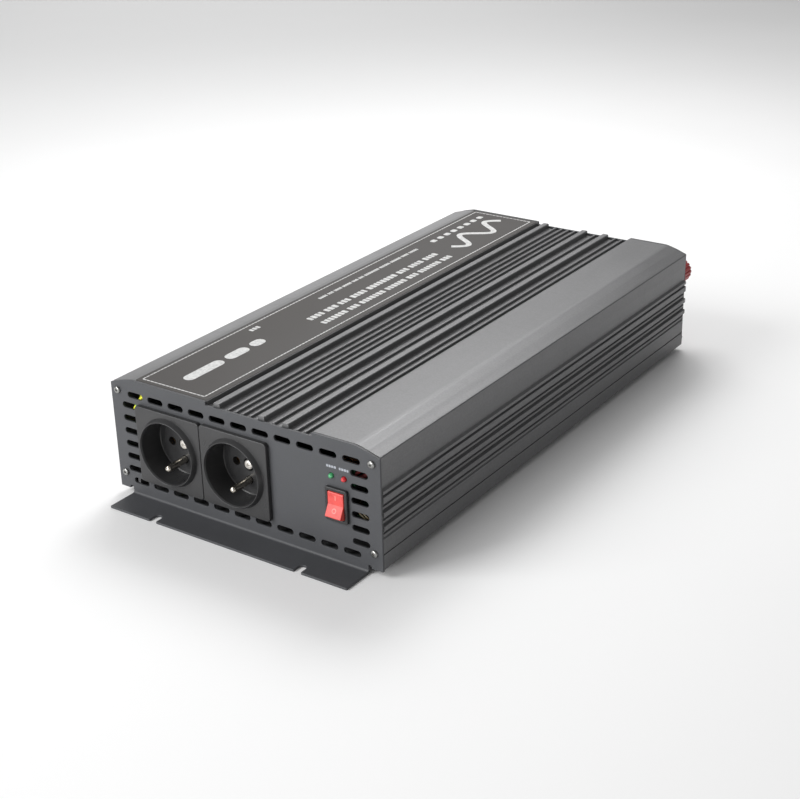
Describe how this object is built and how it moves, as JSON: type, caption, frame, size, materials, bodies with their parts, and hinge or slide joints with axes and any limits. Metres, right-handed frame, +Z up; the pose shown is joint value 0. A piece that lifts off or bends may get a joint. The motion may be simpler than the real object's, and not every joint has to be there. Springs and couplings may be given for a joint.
{
  "type": "power inverter",
  "caption": "Flat power inverter: finned extruded case between end panels with foot flanges, earthed sockets, rocker switch, lamps, fans and screw terminals.",
  "frame": {"origin": "under the middle of the case, on the plane of the foot flanges' undersides", "axes": "+X right as seen from the socket side, +Y from the socket side to the fan side, +Z up"},
  "size_m": [0.2012, 0.43, 0.0793],
  "materials": {
    "cover_metal": "grey anodised extrusion, satin, with fine lengthwise lines",
    "panel_paint": "grey powder coat, fine texture",
    "label_film": "printed film, warm dark grey, matte",
    "screw_steel": "nickel-plated steel",
    "bright_steel": "plated steel",
    "socket_plastic": "moulded black plastic, fine texture",
    "contact_brass": "bright brass",
    "switch_plastic": "moulded black plastic",
    "rocker_red": "translucent red plastic, semi-gloss",
    "lamp_green": "tinted clear plastic",
    "lamp_red": "tinted clear plastic",
    "circuit_board": "solder-masked laminate",
    "fan_plastic": "glass-filled black plastic",
    "guard_wire": "plated steel wire",
    "terminal_red": "moulded red plastic",
    "terminal_black": "moulded black plastic",
    "lead_red": "soft cable sheath",
    "lead_black": "soft cable sheath",
    "ferrite": "sintered ferrite",
    "winding": "enamelled copper wire under varnish",
    "capacitor_sleeve": "shrink sleeve",
    "transistor_epoxy": "moulded epoxy",
    "earth_wire": "green and yellow insulation"
  },
  "bodies": {
    "chassis": {"bottom_tray": "cover_metal", "capacitor_1": "capacitor_sleeve", "capacitor_2": "capacitor_sleeve", "capacitor_3": "capacitor_sleeve", "contact_left_1": "contact_brass", "contact_left_2": "contact_brass", "contact_right_1": "contact_brass", "contact_right_2": "contact_brass", "earth_pin_left": "bright_steel", "earth_pin_right": "bright_steel", "earth_screw": "bright_steel", "earth_wire": "earth_wire", "fan_frame_left": "fan_plastic", "fan_frame_right": "fan_plastic", "fan_guard_left": "guard_wire", "fan_guard_right": "guard_wire", "front_panel": "panel_paint", "front_screw_1": "screw_steel", "front_screw_2": "screw_steel", "front_screw_3": "screw_steel", "front_screw_4": "screw_steel", "label_plate": "label_film", "lamp_board": "circuit_board", "lamp_green": "lamp_green", "lamp_red": "lamp_red", "main_board": "circuit_board", "negative_base": "terminal_black", "negative_lead": "lead_black", "negative_stud": "contact_brass", "output_choke": "winding", "positive_base": "terminal_red", "positive_lead": "lead_red", "positive_stud": "contact_brass", "rear_panel": "panel_paint", "rear_screw_1": "screw_steel", "rear_screw_2": "screw_steel", "rear_screw_3": "screw_steel", "rear_screw_4": "screw_steel", "socket_left": "socket_plastic", "socket_right": "socket_plastic", "socket_screw_left": "screw_steel", "socket_screw_right": "screw_steel", "switch_housing": "switch_plastic", "top_shell": "cover_metal", "transformer_core_1": "ferrite", "transformer_core_2": "ferrite", "transformer_winding_1": "winding", "transformer_winding_2": "winding", "transistor_left_1": "transistor_epoxy", "transistor_left_2": "transistor_epoxy", "transistor_right_1": "transistor_epoxy", "transistor_right_2": "transistor_epoxy"},
    "rocker": {"switch_rocker": "rocker_red"},
    "fan_left": {"fan_rotor_left": "fan_plastic"},
    "fan_right": {"fan_rotor_right": "fan_plastic"},
    "positive_washer": {"positive_washer": "bright_steel"},
    "positive_cap": {"positive_cap": "terminal_red"},
    "negative_washer": {"negative_washer": "bright_steel"},
    "negative_cap": {"negative_cap": "terminal_black"}
  },
  "joints": [
    {"name": "rocker_tilt", "type": "hinge", "parent": "chassis", "child": "rocker", "pos_m": [0.0703, -0.1945, 0.039], "axis": [1, 0, 0], "range_deg": [0, 28]},
    {"name": "fan_left_spin", "type": "hinge", "parent": "chassis", "child": "fan_left", "pos_m": [-0.06, 0.185, 0.0424], "axis": [0, 1, 0], "continuous": true},
    {"name": "fan_right_spin", "type": "hinge", "parent": "chassis", "child": "fan_right", "pos_m": [0.004, 0.185, 0.0424], "axis": [0, 1, 0], "continuous": true},
    {"name": "positive_washer_slide", "type": "slide", "parent": "chassis", "child": "positive_washer", "axis": [0, 1, 0], "range_m": [0, 0.0025]},
    {"name": "positive_cap_turn", "type": "hinge", "parent": "positive_washer", "child": "positive_cap", "pos_m": [0.086, 0.205, 0.0545], "axis": [0, 1, 0], "range_deg": [0, 720]},
    {"name": "negative_washer_slide", "type": "slide", "parent": "chassis", "child": "negative_washer", "axis": [0, 1, 0], "range_m": [0, 0.0025]},
    {"name": "negative_cap_turn", "type": "hinge", "parent": "negative_washer", "child": "negative_cap", "pos_m": [0.058, 0.205, 0.0545], "axis": [0, 1, 0], "range_deg": [0, 720]}
  ],
  "couplings": [
    {"joint": "positive_cap_turn", "follows": "positive_washer_slide", "rad_per_m": 5026.5},
    {"joint": "negative_cap_turn", "follows": "negative_washer_slide", "rad_per_m": 5026.5}
  ]
}
